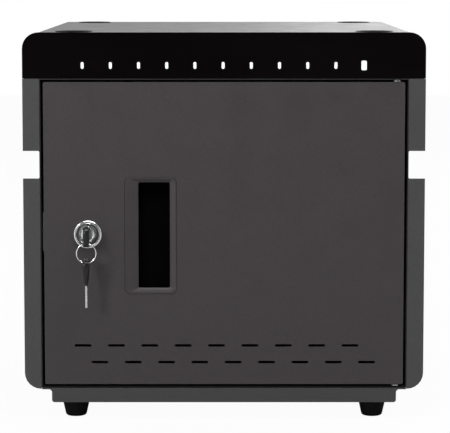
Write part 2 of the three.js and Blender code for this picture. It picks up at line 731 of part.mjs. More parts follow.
function doorPanel() {
  const skin = rounded(-DOOR_HALF, DOOR_BOTTOM, DOOR_HALF, DOOR_TOP, 1.5);
  const inside = rounded(
    -DOOR_HALF + DOOR_SHEET, DOOR_BOTTOM + DOOR_SHEET, DOOR_HALF - DOOR_SHEET, DOOR_TOP - DOOR_SHEET, 0.5,
  );
  let door = cut(facing(skin, 0, DOOR_DEPTH, 3), facing(inside, DOOR_SHEET, DOOR_DEPTH + 1, 1));
  for (const [z, shift] of SLOT_ROWS) {
    for (let i = 0; i < SLOT_COUNT; i++) {
      const x = shift + SLOT_PITCH * (i - (SLOT_COUNT - 1) / 2);
      door = cut(door, facing(slotAt(x, z, SLOT_LENGTH, SLOT_HEIGHT), -1, 3, 2));
    }
  }
  const [w, h] = [PULL_W / 2 + GAP, PULL_H / 2 + GAP];
  const hole = rounded(PULL_X - w, PULL_Z - h, PULL_X + w, PULL_Z + h, 4.8);
  return cut(
    door,
    facing(hole, -1, 3, 2),
    rodDeep(LOCK_X, LOCK_Z, 9.8, -1, 3, 32),
    rodUp(HINGE_X, HINGE_DEPTH, PIN_R + GAP, DOOR_BOTTOM - 2, DOOR_BOTTOM + 3),
    rodUp(HINGE_X, HINGE_DEPTH, PIN_R + GAP, DOOR_TOP - 3, DOOR_TOP + 2),
  );
}

piece("door_panel", doorPanel(), COAT, 0.6, 0.3);

function pullBezel() {
  const [x0, x1] = [PULL_X - PULL_W / 2, PULL_X + PULL_W / 2];
  const [z0, z1] = [PULL_Z - PULL_H / 2, PULL_Z + PULL_H / 2];
  const [a, b] = [WELL_X - WELL_W / 2, WELL_X + WELL_W / 2];
  const [c, d] = [PULL_Z + 0.3 - WELL_H / 2, PULL_Z + 0.3 + WELL_H / 2];
  return lofted([
    loopAt(x0, z0, x1, z1, 4.5, 0.1),
    loopAt(x0 + 1.2, z0 + 1.2, x1 - 1.2, z1 - 1.2, 3.5, 0.1),
    loopAt(a, c, b, d, 1.5, 2.6),
    loopAt(a, c, b, d, 1.5, 4),
    loopAt(x0 + 1, z0 + 1, x1 - 1, z1 - 1, 3.5, 4),
    loopAt(x0, z0, x1, z1, 4.5, 3),
  ]);
}

piece("pull_bezel", pullBezel(), COAT, 0.6, 0.3);

// The cup behind the bezel is wider than the opening, so that fingers hook under its left side.
function pullCup() {
  const [x0, x1] = [PULL_X - PULL_W / 2, PULL_X + PULL_W / 2];
  const [z0, z1] = [PULL_Z - PULL_H / 2, PULL_Z + PULL_H / 2];
  const shell = facing(rounded(x0 - 3, z0 - 3, x1 + 3, z1 + 3, 6), 1.8, 14.2, 2);
  const seat = facing(rounded(x0 - GAP, z0 - GAP, x1 + GAP, z1 + GAP, 4.8), 1, 4.3, 2);
  const well = facing(
    rounded(x0 + 1, z0 + 4, WELL_X + WELL_W / 2 + 0.5, z1 - 4, 3), 4, 12.8, 4,
  );
  return cut(shell, seat, well);
}

piece("pull_cup", pullCup(), 0x0b0b0c, 0.6, 0);

// ---- cam lock ----

const lockProfile = [
  [PLUG_R + GAP, 17.7], [9.4, 17.7], [9.4, -GAP], [LOCK_R, -GAP], [LOCK_R, -LOCK_PROUD + 0.8],
  [LOCK_R - 0.8, -LOCK_PROUD], [LOCK_R - 1.9, -LOCK_PROUD], [PLUG_R + 1.4, -1.9], [PLUG_R + GAP, -1.6],
  [PLUG_R + GAP, 17.7],
];
piece("lock_housing", turnedDeep(lockProfile, LOCK_X, LOCK_Z, 32), CHROME, 0.12, 1);

const nut = cut(
  rodDeep(LOCK_X, LOCK_Z, 13, 1.8, 5.3, 6), rodDeep(LOCK_X, LOCK_Z, 9.7, 1, 6, 32),
);
piece("lock_nut", nut, ZINC, 0.35, 0.9);

const CAM_FRONT = 18.2;
const CAM_BACK = 20.2;

function lockPlug() {
  const profile = [
    [0, -1.9], [PLUG_R - 0.5, -1.9], [PLUG_R, -1.4], [PLUG_R, CAM_FRONT - GAP],
    [3.2, CAM_FRONT - GAP], [3.2, CAM_BACK + 2.6], [0, CAM_BACK + 2.6],
  ];
  const keyway = block(LOCK_X - 1.3, LOCK_X + 1.3, -5, 13.5, LOCK_Z - 4.4, LOCK_Z + 4.4);
  return cut(turnedDeep(profile, LOCK_X, LOCK_Z, 32), keyway);
}

piece("lock_plug", lockPlug(), CHROME, 0.18, 1);

// At rest the cam hangs down, clear of the strike.
function lockCam() {
  const shape = new THREE.Shape();
  shape.absarc(LOCK_X, LOCK_Z, 8.5, 0, Math.PI, false);
  shape.lineTo(LOCK_X - 6.5, LOCK_Z - 36);
  shape.absarc(LOCK_X, LOCK_Z - 34, 6.5, Math.PI, 2 * Math.PI, false);
  shape.closePath();
  return cut(
    facing(shape, CAM_FRONT, CAM_BACK, 4), rodDeep(LOCK_X, LOCK_Z, 3.5, 10, 30, 24),
  );
}

piece("lock_cam", lockCam(), ZINC, 0.4, 0.9);

// ---- keys ----

// A moulded bow, drawn in depth and z about its long eye, with the shank end on the positive side.
function keyBow(x, d, z, down) {
  const place = (along, off) => (down ? [d + off, z - along] : [d + along, z + off]);
  const outline = [
    [-5, -6.5], [-3.4, -8.6], [0, -9.5], [9, -9.5], [14, -7.5], [19, -4.8], [21, -4.6],
  ];
  const shape = new THREE.Shape();
  const all = [...outline, ...outline.map(([a, b]) => [a, -b]).reverse()];
  all.forEach(([along, off], i) => {
    const [u, v] = place(along, off);
    if (i === 0) shape.moveTo(u, v);
    else shape.lineTo(u, v);
  });
  shape.closePath();
  const [wide, tall] = down ? [KEY_HOLE_REACH, 0] : [0, KEY_HOLE_REACH];
  const eye = rounded(
    d - wide - KEY_HOLE_R, z - tall - KEY_HOLE_R, d + wide + KEY_HOLE_R, z + tall + KEY_HOLE_R, KEY_HOLE_R - 0.001,
  );
  const hole = standing(eye, x - 5, x + 5, 4);
  const [from, to] = [place(13, -4), place(25, 4)];
  const low = [Math.min(from[0], to[0]), Math.min(from[1], to[1])];
  const high = [Math.max(from[0], to[0]), Math.max(from[1], to[1])];
  const slot = block(x - 1.2, x + 1.2, low[0] - 0.3, high[0] + 0.3, low[1] - 0.3, high[1] + 0.3);
  return cut(standing(shape, x - 3, x + 3), hole, slot);
}

// A cut blade, from its tail in the bow to its tip.
function keyBlade(x, d, z, down, start, end) {
  const place = (along, off) => (down ? [d + off, z - along] : [d + along, z + off]);
  const edge = [[start, 3.9]];
  const cuts = 4;
  const cutStart = 24;
  const pitch = (end - 2.5 - cutStart) / cuts;
  for (let i = 0; i < cuts; i++) {
    edge.push([cutStart + pitch * i, 3.9]);
    edge.push([cutStart + pitch * (i + 0.4), 1.6 + 0.5 * ((i * 2) % 3)]);
    edge.push([cutStart + pitch * (i + 0.6), 1.6 + 0.5 * ((i * 2) % 3)]);
  }
  edge.push([end - 2.5, 3.9], [end, 0.5], [end - 1.5, -3.9], [start, -3.9]);
  const shape = new THREE.Shape();
  edge.forEach(([along, off], i) => {
    const [u, v] = place(along, off);
    if (i === 0) shape.moveTo(u, v);
    else shape.lineTo(u, v);
  });
  shape.closePath();
  return standing(shape, x - 0.9, x + 0.9);
}

piece("key_bow", keyBow(LOCK_X, -KEY_HOLE_OUT, LOCK_Z, false), BLACK, 0.4, 0);
piece("key_blade", keyBlade(LOCK_X, -KEY_HOLE_OUT, LOCK_Z, false, 13.5, 38.5), ZINC, 0.25, 1);

// The ring hangs at the low end of the eye.
const ringTop = LOCK_Z - KEY_HOLE_REACH - RING_DROP;
const ringCentre = ringTop - RING_R;
const ring = new THREE.TorusGeometry(RING_R, RING_WIRE_R, 8, 36);
ring.rotateX(Math.PI / 2).translate(LOCK_X, FRONT_Y - KEY_HOLE_OUT, ringCentre);
piece("key_ring", solid(ring), CHROME, 0.2, 1);

const spareHole = ringCentre - RING_R - RING_DROP;
piece("spare_key_bow", keyBow(LOCK_X, -KEY_HOLE_OUT, spareHole, true), BLACK, 0.4, 0);
piece("spare_key_blade", keyBlade(LOCK_X, -KEY_HOLE_OUT, spareHole, true, 13.5, 42), ZINC, 0.25, 1);

export default group;
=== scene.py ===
"""A desktop charging cabinet: materials, fine detail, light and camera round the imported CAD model."""

import math

import bmesh
import bpy
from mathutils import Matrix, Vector


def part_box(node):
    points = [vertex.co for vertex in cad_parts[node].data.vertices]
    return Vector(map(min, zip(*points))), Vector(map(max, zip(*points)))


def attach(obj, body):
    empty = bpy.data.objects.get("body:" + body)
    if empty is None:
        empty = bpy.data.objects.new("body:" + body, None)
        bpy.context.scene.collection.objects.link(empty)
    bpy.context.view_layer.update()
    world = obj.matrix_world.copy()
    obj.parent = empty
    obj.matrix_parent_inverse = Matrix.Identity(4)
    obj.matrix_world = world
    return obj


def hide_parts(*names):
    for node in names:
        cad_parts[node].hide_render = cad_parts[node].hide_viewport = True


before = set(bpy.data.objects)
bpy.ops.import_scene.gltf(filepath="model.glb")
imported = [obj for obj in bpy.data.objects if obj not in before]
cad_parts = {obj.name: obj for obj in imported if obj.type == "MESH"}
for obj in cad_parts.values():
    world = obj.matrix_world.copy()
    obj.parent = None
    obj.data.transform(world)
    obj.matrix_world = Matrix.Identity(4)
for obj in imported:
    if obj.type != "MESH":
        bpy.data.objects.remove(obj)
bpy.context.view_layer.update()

MM = 0.001
scene = bpy.context.scene
scene.view_settings.view_transform = "Standard"

# ---- places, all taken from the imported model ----


def middle_of(name):
    """The middle of a CAD node's box."""
    low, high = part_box(name)
    return (low + high) / 2


door_low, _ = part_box("door_panel")
FRONT_Y = door_low.y
strip_low, strip_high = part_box("indicator_panel")
TOP_Z = strip_high.z
LOCK = middle_of("lock_housing")
LOCK.y = FRONT_Y
RING = middle_of("key_ring")
rear_low, rear_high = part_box("rear_panel")
REAR_Y = rear_high.y
_, side_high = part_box("side_panel_right")
SIDE_X = side_high.x

# ---- camera ----

CAMERA_BACK = 2.0
CAMERA_X = 0.00095
CAMERA_Z = 0.4312
CAMERA_TILT = math.radians(5.88)
CAMERA_LENS = 170.1
CAMERA_SHIFT_Y = -0.07


def make_camera():
    """A long lens straight in front, tilted down a little."""
    data = bpy.data.cameras.new("camera")
    data.lens = CAMERA_LENS
    data.sensor_width = 36
    data.shift_y = CAMERA_SHIFT_Y
    data.clip_start, data.clip_end = 0.05, 100
    camera = bpy.data.objects.new("camera", data)
    camera.location = (CAMERA_X, FRONT_Y - CAMERA_BACK, CAMERA_Z)
    camera.rotation_euler = (math.pi / 2 - CAMERA_TILT, 0, 0)
    scene.collection.objects.link(camera)
    scene.camera = camera


make_camera()

# ---- light ----


def area_light(name, place, target, width, height, power):
    """A rectangular softbox at a place, aimed at a target."""
    data = bpy.data.lights.new(name, "AREA")
    data.shape = "RECTANGLE"
    data.size, data.size_y = width, height
    data.energy = power
    lamp = bpy.data.objects.new(name, data)
    lamp.location = place
    aim = Vector(target) - Vector(place)
    lamp.rotation_euler = aim.to_track_quat("-Z", "Y").to_euler()
    scene.collection.objects.link(lamp)


area_light("key_softbox", (-1.75, -3.1, 1.15), (0, 0, 0.25), 0.6, 0.6, 32)
area_light("front_softbox", (0.1, -0.95, 1.6), (0, -0.1, 0.44), 1.6, 0.45, 26)
area_light("left_strip_light", (-1.7, -1.25, 0.55), (0, -0.15, 0.2), 0.3, 1.5, 4)
area_light("right_strip_light", (1.7, -1.25, 0.55), (0, -0.15, 0.2), 0.3, 1.5, 4)
area_light("top_softbox", (0.1, 0.6, 2.2), (0, 0, 0.3), 1.6, 1.4, 14)
area_light("rear_softbox", (0.8, 2.4, 1.3), (0, 0, 0.2), 1.4, 1.0, 18)

WORLD_SEEN = 1.0
WORLD_GLOW = 1.0
# How bright the studio is, from the dark front where the camera stands to the pale wall behind.
WORLD_STOPS = [(0.0, 0.04), (0.04, 0.05), (0.16, 0.2), (0.5, 0.42), (1.0, 0.95)]


def make_world():
    """White to the camera, and to the object a studio that brightens from front to back."""
    world = bpy.data.worlds.new("studio")
    scene.world = world
    world.use_nodes = True
    tree = world.node_tree
    tree.nodes.clear()
    path = tree.nodes.new("ShaderNodeLightPath")
    place = tree.nodes.new("ShaderNodeTexCoord")
    split = tree.nodes.new("ShaderNodeSeparateXYZ")
    spread = tree.nodes.new("ShaderNodeMapRange")
    spread.inputs["From Min"].default_value = -1
    ramp = tree.nodes.new("ShaderNodeValToRGB")
    while len(ramp.color_ramp.elements) < len(WORLD_STOPS):
        ramp.color_ramp.elements.new(0.5)
    for element, (position, value) in zip(ramp.color_ramp.elements, WORLD_STOPS):
        element.position = position
        element.color = (value, value, value, 1)
    glow = tree.nodes.new("ShaderNodeBackground")
    glow.inputs["Strength"].default_value = WORLD_GLOW
    seen = tree.nodes.new("ShaderNodeBackground")
    seen.inputs["Color"].default_value = (1, 1, 1, 1)
    seen.inputs["Strength"].default_value = WORLD_SEEN
    mix = tree.nodes.new("ShaderNodeMixShader")
    out = tree.nodes.new("ShaderNodeOutputWorld")
    tree.links.new(place.outputs["Generated"], split.inputs[0])
    tree.links.new(split.outputs["Y"], spread.inputs["Value"])
    tree.links.new(spread.outputs["Result"], ramp.inputs["Fac"])
    tree.links.new(ramp.outputs["Color"], glow.inputs["Color"])
    tree.links.new(path.outputs["Is Camera Ray"], mix.inputs["Fac"])
    tree.links.new(glow.outputs[0], mix.inputs[1])
    tree.links.new(seen.outputs[0], mix.inputs[2])
    tree.links.new(mix.outputs[0], out.inputs["Surface"])


make_world()

# ---- materials ----


class Surface:
    """A Principled material with short helpers for its node tree."""

    def __init__(self, name, colour, roughness, metallic=0.0, specular=0.5):
        self.material = bpy.data.materials.new(name)
        self.material.use_nodes = True
        self.tree = self.material.node_tree
        self.shader = self.tree.nodes["Principled BSDF"]
        self.shader.inputs["Base Color"].default_value = (*colour, 1)
        self.shader.inputs["Roughness"].default_value = roughness
        self.shader.inputs["Metallic"].default_value = metallic
        self.shader.inputs["Specular IOR Level"].default_value = specular
        self.colour = colour
        self.roughness = roughness
        self.place = self.tree.nodes.new("ShaderNodeTexCoord").outputs["Object"]

    def link(self, start, end):
        self.tree.links.new(start, end)

    def noise(self, scale, detail=3.0, rough=0.5, stretch=None):
        node = self.tree.nodes.new("ShaderNodeTexNoise")
        node.inputs["Scale"].default_value = scale
        node.inputs["Detail"].default_value = detail
        node.inputs["Roughness"].default_value = rough
        start = self.place
        if stretch:
            mapping = self.tree.nodes.new("ShaderNodeMapping")
            mapping.inputs["Scale"].default_value = stretch
            self.link(self.place, mapping.inputs["Vector"])
            start = mapping.outputs["Vector"]
        self.link(start, node.inputs["Vector"])
        return node.outputs["Fac"]

    def ramp(self, value, stops):
        node = self.tree.nodes.new("ShaderNodeValToRGB")
        while len(node.color_ramp.elements) < len(stops):
            node.color_ramp.elements.new(0.5)
        for element, (position, colour) in zip(node.color_ramp.elements, stops):
            element.position = position
            element.color = (*colour, 1)
        self.link(value, node.inputs["Fac"])
        return node.outputs["Color"]

    def tint(self, value, spread, low=0.35, high=0.65):
        """Lets the colour drift by spread, as a fraction, with a pattern."""
        darker = [c * (1 - spread) for c in self.colour]
        lighter = [min(1, c * (1 + spread)) for c in self.colour]
        self.link(self.ramp(value, [(low, darker), (high, lighter)]), self.shader.inputs["Base Color"])

    def math(self, operation, one, two):
        node = self.tree.nodes.new("ShaderNodeMath")
        node.operation = operation
        for socket, value in zip(node.inputs, (one, two)):
            if isinstance(value, float):
                socket.default_value = value
            else:
                self.link(value, socket)
        return node.outputs[0]

    def paint_shade_in_opening(self, half_width, top, share):
        """Paints shade into the coat: darkens it within an opening of a given half width, below a given
        height, as painted shade for the recesses round the door.
        """
        split = self.tree.nodes.new("ShaderNodeSeparateXYZ")
        self.link(self.place, split.inputs[0])
        across = self.math("ABSOLUTE", split.outputs["X"], 0.0)
        within = self.math("LESS_THAN", across, half_width)
        below = self.math("LESS_THAN", split.outputs["Z"], top)
        painted_shade_mask = self.math("MULTIPLY", within, below)
        shade = self.math("SUBTRACT", 1.0, self.math("MULTIPLY", painted_shade_mask, 1.0 - share))
        scale = self.tree.nodes.new("ShaderNodeVectorMath")
        scale.operation = "SCALE"
        base = self.shader.inputs["Base Color"]
        self.link(base.links[0].from_socket, scale.inputs[0])
        self.link(shade, scale.inputs["Scale"])
        self.link(scale.outputs["Vector"], base)

    def vary_roughness(self, value, spread, low=0.3, high=0.7):
        node = self.tree.nodes.new("ShaderNodeMapRange")
        node.inputs["From Min"].default_value = low
        node.inputs["From Max"].default_value = high
        node.inputs["To Min"].default_value = max(0.02, self.roughness - spread)
        node.inputs["To Max"].default_value = min(1, self.roughness + spread)
        self.link(value, node.inputs["Value"])
        self.link(node.outputs["Result"], self.shader.inputs["Roughness"])

    def bump(self, value, height_mm, strength=1.0):
        node = self.tree.nodes.new("ShaderNodeBump")
        node.inputs["Distance"].default_value = height_mm * MM
        node.inputs["Strength"].default_value = strength
        self.link(value, node.inputs["Height"])
        normal = self.shader.inputs["Normal"]
        if normal.is_linked:
            self.link(normal.links[0].from_socket, node.inputs["Normal"])
        self.link(node.outputs["Normal"], normal)


def powder_coat(name, colour, roughness=0.55, specular=0.5, painted_shade_opening=None):
    """Sprayed powder: a fine orange-peel skin with tiny flecks, darkened as painted shade within a door
    opening when one is given.
    """
    coat = Surface(name, colour, roughness, specular=specular)
    coat.tint(coat.noise(1500, 2.0), 0.22)
    if painted_shade_opening:
        coat.paint_shade_in_opening(*painted_shade_opening)
    coat.vary_roughness(coat.noise(35, 4.0), 0.06)
    coat.bump(coat.noise(700, 2.0), 0.05, 0.5)
    coat.bump(coat.noise(160, 2.0), 0.04, 0.25)
    return coat.material


def moulded(name, colour, roughness=0.45, grain=0.03, specular=0.5):
    """Injection-moulded plastic with a spark-eroded grain."""
    plastic = Surface(name, colour, roughness, specular=specular)
    plastic.tint(plastic.noise(900, 2.0), 0.15)
    plastic.vary_roughness(plastic.noise(60, 4.0), 0.07)
    plastic.bump(plastic.noise(2200, 2.0), grain, 0.6)
    return plastic.material


def bright_metal(name, colour, roughness, stretch=(1, 1, 1), scratch=0.004, spread=0.05):
    """Polished or brushed metal, with fine lines along the short axis of stretch."""
    metal = Surface(name, colour, roughness, metallic=1.0)
    metal.tint(metal.noise(120, 3.0), 0.06)
    metal.vary_roughness(metal.noise(500, 4.0, stretch=stretch), spread)
    metal.bump(metal.noise(900, 3.0, stretch=stretch), scratch, 0.5)
    return metal.material


FRAME_COAT = powder_coat("frame_coat", (0.035, 0.034, 0.0345), 0.5)
# Painted shade in the door opening: its half width, its top and the share of the coat's colour that is left
# in it, darkening the recessed frame faces that sit in shade round the door.
PAINTED_SHADE_OPENING = (0.1742, strip_low.z - 0.0001, 0.12)
# The front frame's coat: the same charcoal paint as frame_coat, mixed a little lighter as painted light on
# the front face, with painted shade in the door opening.
FRONT_COAT_LIT_AND_SHADED = powder_coat("front_coat_lit_and_shaded", (0.04, 0.0395, 0.04), 0.5, painted_shade_opening=PAINTED_SHADE_OPENING)
DOOR_COAT = powder_coat("door_coat", (0.0285, 0.0235, 0.0248), 0.5)
# The coat inside the cabinet: partly its own dark paint, made near black as painted shade so that the floor
# panel's edge in the gap under the door reads as shaded.
INNER_COAT_PAINTED_SHADE = powder_coat("inner_coat", (0.008, 0.008, 0.009), 0.7, specular=0.2)
# The pull cup: partly its own black plastic, set to near pure black with almost no gloss as painted shade for
# its deep pocket.
PULL_PLASTIC_PAINTED_SHADE = moulded("pull_plastic_painted_shade", (0.0008, 0.0007, 0.0008), 0.8, specular=0.02)
BLACK_PLASTIC = moulded("black_plastic", (0.008, 0.008, 0.009), 0.5, specular=0.35)
DIVIDER_PLASTIC = moulded("divider_plastic", (0.035, 0.036, 0.04), 0.5, 0.05)
KEY_PLASTIC = moulded("key_plastic", (0.006, 0.006, 0.006), 0.35, 0.02, specular=0.4)
MARK_WHITE = moulded("mark_white", (0.8, 0.8, 0.78), 0.5, 0.005)
ROCKER_PLASTIC = moulded("rocker_plastic", (0.012, 0.012, 0.013), 0.3, 0.01)
RUBBER = moulded("rubber", (0.003, 0.003, 0.003), 0.75, 0.06, specular=0.12)
CHROME = bright_metal("chrome", (0.9, 0.91, 0.92), 0.12, scratch=0.001, spread=0.03)
KEY_STEEL = bright_metal("key_steel", (0.76, 0.76, 0.75), 0.25, (1, 0.15, 1), 0.006)
PLATED_STEEL = bright_metal("plated_steel", (0.52, 0.54, 0.57), 0.35, (1, 1, 0.2), 0.006)
CASE_METAL = bright_metal("case_metal", (0.6, 0.61, 0.62), 0.4, (0.1, 1, 1), 0.008)


def gloss_panel():
    """Black acrylic: a deep gloss with the faintest wipe marks."""
    panel = Surface("gloss_black", (0.0018, 0.0012, 0.0013), 0.06, specular=0.4)
    panel.tint(panel.noise(8, 2.0), 0.2)
    panel.vary_roughness(panel.noise(18, 5.0, stretch=(0.4, 1, 1.6)), 0.035)
    panel.bump(panel.noise(12, 1.0), 0.02, 0.15)
    return panel.material


def light_window():
    """Frosted white light guide, lit faintly from behind."""
    window = Surface("light_guide", (0.9, 0.92, 0.93), 0.4)
    frost = window.noise(900, 2.0)
    window.tint(frost, 0.04)
    window.bump(frost, 0.02, 0.4)
    window.shader.inputs["Emission Color"].default_value = (0.93, 0.97, 1, 1)
    window.shader.inputs["Emission Strength"].default_value = 0.25
    return window.material


def circuit_board():
    """Green solder resist over faint copper tracks."""
    board = Surface("circuit_board", (0.012, 0.075, 0.035), 0.35)
    tracks = board.tree.nodes.new("ShaderNodeTexBrick")
    tracks.inputs["Scale"].default_value = 90
    tracks.inputs["Color1"].default_value = (0.012, 0.075, 0.035, 1)
    tracks.inputs["Color2"].default_value = (0.014, 0.085, 0.04, 1)
    tracks.inputs["Mortar"].default_value = (0.03, 0.16, 0.07, 1)
    tracks.inputs["Mortar Size"].default_value = 0.03
    board.link(board.place, tracks.inputs["Vector"])
    board.link(tracks.outputs["Color"], board.shader.inputs["Base Color"])
    board.bump(tracks.outputs["Fac"], 0.03, 0.4)
    return board.material


GLOSS_BLACK = gloss_panel()
LIGHT_GUIDE = light_window()
CIRCUIT_BOARD = circuit_board()

# ---- finish of the CAD nodes that stay ----


WELD_DISTANCE = 0.00001


def finish_node(name, material, round_mm):
    """Gives a CAD node its material and softens its sharp edges."""
    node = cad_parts[name]
    node.data.materials.clear()
    node.data.materials.append(material)
    for face in node.data.polygons:
        face.use_smooth = True
    weld = node.modifiers.new("weld", "WELD")
    weld.merge_threshold = WELD_DISTANCE
    flat = node.modifiers.new("flat", "DECIMATE")
    flat.decimate_type = "DISSOLVE"
    flat.angle_limit = math.radians(0.6)
    bevel = node.modifiers.new("bevel", "BEVEL")
    bevel.width = round_mm * MM
    bevel.segments = 2
    bevel.limit_method = "ANGLE"
    bevel.angle_limit = math.radians(32)
    bevel.use_clamp_overlap = True
    bevel.harden_normals = False
    normals = node.modifiers.new("normals", "WEIGHTED_NORMAL")
    normals.keep_sharp = False
    normals.weight = 90


FINISHES = {
    "front_frame": (FRONT_COAT_LIT_AND_SHADED, 0.3),
    "top_panel": (FRAME_COAT, 0.4),
    "side_panel_left": (FRAME_COAT, 0.25),
    "side_panel_right": (FRAME_COAT, 0.25),
    "rear_panel": (FRAME_COAT, 0.25),
    "base_tray": (FRAME_COAT, 0.6),
    "door_panel": (DOOR_COAT, 0.5),
    "pull_bezel": (DOOR_COAT, 0.25),
    "floor_panel": (INNER_COAT_PAINTED_SHADE, 0.2),
    "upper_deck": (INNER_COAT_PAINTED_SHADE, 0.2),
    "port_panel": (INNER_COAT_PAINTED_SHADE, 0.2),
    "indicator_panel": (GLOSS_BLACK, 0.3),
    "light_guide_strip": (LIGHT_GUIDE, 0.15),
    "indicator_board": (CIRCUIT_BOARD, 0.1),
    "usb_port_row": (CIRCUIT_BOARD, 0.1),
    "pull_cup": (PULL_PLASTIC_PAINTED_SHADE, 0.4),
    "side_grip_left": (BLACK_PLASTIC, 0.4),
    "side_grip_right": (BLACK_PLASTIC, 0.4),
    "fan_frame": (BLACK_PLASTIC, 0.4),
    "inlet_socket": (BLACK_PLASTIC, 0.3),
    "switch_housing": (BLACK_PLASTIC, 0.3),
    "charging_hub_case": (BLACK_PLASTIC, 0.5),
    "power_supply_case": (CASE_METAL, 0.5),
    "divider_rack_lower": (DIVIDER_PLASTIC, 0.25),
    "divider_rack_upper": (DIVIDER_PLASTIC, 0.25),
    "power_rocker": (ROCKER_PLASTIC, 0.4),
    "key_blade": (KEY_STEEL, 0.15),
    "spare_key_blade": (KEY_STEEL, 0.15),
    "hinge_pin_lower": (PLATED_STEEL, 0.2),
    "hinge_pin_upper": (PLATED_STEEL, 0.2),
    "lock_strike": (PLATED_STEEL, 0.25),
    "lock_nut": (PLATED_STEEL, 0.3),
    "lock_cam": (PLATED_STEEL, 0.25),
    "lock_plug": (CHROME, 0.2),
}
for node_name, (material, rounding) in FINISHES.items():
    finish_node(node_name, material, rounding)
PORTS = 10
for number in range(PORTS + 1):
    finish_node(f"divider_{number + 1}", DIVIDER_PLASTIC, 0.35)

# ---- mesh pieces ----


def place_mesh(mesh, material, body):
    """Puts a finished mesh in the scene, riding on a body, with smooth faces."""
    for face in mesh.polygons:
        face.use_smooth = True
    mesh.materials.append(material)
    made = bpy.data.objects.new(mesh.name, mesh)
    scene.collection.objects.link(made)
    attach(made, body)
    return made


def piece(name, vertices, faces, material, body, slot):
    """A new mesh object in metres, in the part's frame, riding on a body."""
    mesh = bpy.data.meshes.new(name)
    mesh.from_pydata([tuple(v) for v in vertices], [], faces)
    mesh.validate()
    work = bmesh.new()
    work.from_mesh(mesh)
    bmesh.ops.recalc_face_normals(work, faces=work.faces)
    work.to_mesh(mesh)
    work.free()
    return place_mesh(mesh, material, body)


def sharpen(made, degrees):
    """Marks the sharp edges, so that flat and turned faces meet in a crisp line."""
    made.data.set_sharp_from_angle(angle=math.radians(degrees))


def strips(loops, steps, closed=False):
    """Faces that join each loop of points to the next, and the last to the first when closed."""
    faces = []
    for k in range(loops if closed else loops - 1):
        n = (k + 1) % loops
        for i in range(steps):
            j = (i + 1) % steps
            faces.append([k * steps + i, k * steps + j, n * steps + j, n * steps + i])
    return faces


def turned(profile, place, axis, steps=96):
    """Vertices and faces of a profile of (radius, along) in mm, turned about an axis through place."""
    axis = Vector(axis).normalized()
    side = axis.orthogonal().normalized()
    other = axis.cross(side)
    vertices, rings = [], []
    for radius, along in profile:
        centre = Vector(place) + axis * along * MM
        if radius < 1e-6:
            rings.append([len(vertices)] * steps)
            vertices.append(centre)
            continue
        rings.append([len(vertices) + i for i in range(steps)])
        for i in range(steps):
            turn = 2 * math.pi * i / steps
            vertices.append(centre + (side * math.cos(turn) + other * math.sin(turn)) * radius * MM)
    faces = []
    for first, second in zip(rings, rings[1:]):
        for i in range(steps):
            j = (i + 1) % steps
            corners = [first[i], first[j], second[j], second[i]]
            face = [c for k, c in enumerate(corners) if c not in corners[:k]]
            if len(face) > 2:
                faces.append(face)
    return vertices, faces


def swept(points, radius_mm, steps=10, closed=False, flatten=1.0):
    """A round wire through points, capped at its ends unless it closes on itself."""
    vertices = []
    count = len(points)
    for k, point in enumerate(points):
        before = points[(k - 1) % count] if closed or k > 0 else point
        after = points[(k + 1) % count] if closed or k < count - 1 else point
        along = (after - before).normalized()
        side = along.cross(Vector((0, 1, 0)))
        side = side.normalized() if side.length > 1e-6 else Vector((1, 0, 0))
        other = along.cross(side).normalized()
        for i in range(steps):
            turn = 2 * math.pi * i / steps
            offset = side * math.cos(turn) * flatten + other * math.sin(turn)
            vertices.append(point + offset * radius_mm * MM)
    faces = strips(count, steps, closed)
    if not closed:
        faces.append(list(range(steps)))
        faces.append([(count - 1) * steps + i for i in range(steps)])
    return vertices, faces


# ---- feet and stacking cups ----

FOOT_PROFILE = [
    (0, 2.6), (3.4, 2.6), (3.4, 0.5), (3.7, 0.12), (4.2, 0), (7.4, 0), (8.5, 0.2), (9.4, 0.75),
    (10.0, 1.6), (10.3, 2.7), (10.9, 5.5), (12.5, 12.6), (12.9, 13.8), (13.1, 14.6), (13.1, 15.7),
    (12.9, 16.05), (12.5, 16.2), (0, 16.2),
]
CUP_PROFILE = [
    (0, -3.6), (15.2, -3.6), (15.5, -3.3), (15.5, 0.15), (17.5, 0.15), (17.8, 0.3), (17.75, 0.5),
    (17.45, 0.66), (17.0, 0.7), (15.2, 0.7), (14.7, 0.6), (14.4, 0.3), (13.9, -1.2), (13.5, -1.5),
    (12.9, -1.6), (9.2, -1.6), (9.0, -1.4), (8.4, -1.4), (8.2, -1.6), (0, -1.6),
]

CORNERS = [(end, hand) for end in ("front", "rear") for hand in ("left", "right")]
UP = (0, 0, 1)
for end, hand in CORNERS:
    centre = middle_of(f"foot_{end}_{hand}")
    centre.z = 0
    solid = turned(FOOT_PROFILE, centre, UP)
    foot = piece(f"rubber_foot_{end}_{hand}", *solid, RUBBER, "cabinet", "rubber")
    sharpen(foot, 50)
    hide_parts(f"foot_{end}_{hand}")
    centre = middle_of(f"stacking_cup_{end}_{hand}")
    centre.z = TOP_Z
    solid = turned(CUP_PROFILE, centre, UP)
    cup = piece(f"stacking_pad_{end}_{hand}", *solid, RUBBER, "cabinet", "rubber")
    sharpen(cup, 50)
    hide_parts(f"stacking_cup_{end}_{hand}")

# ---- cam lock ----

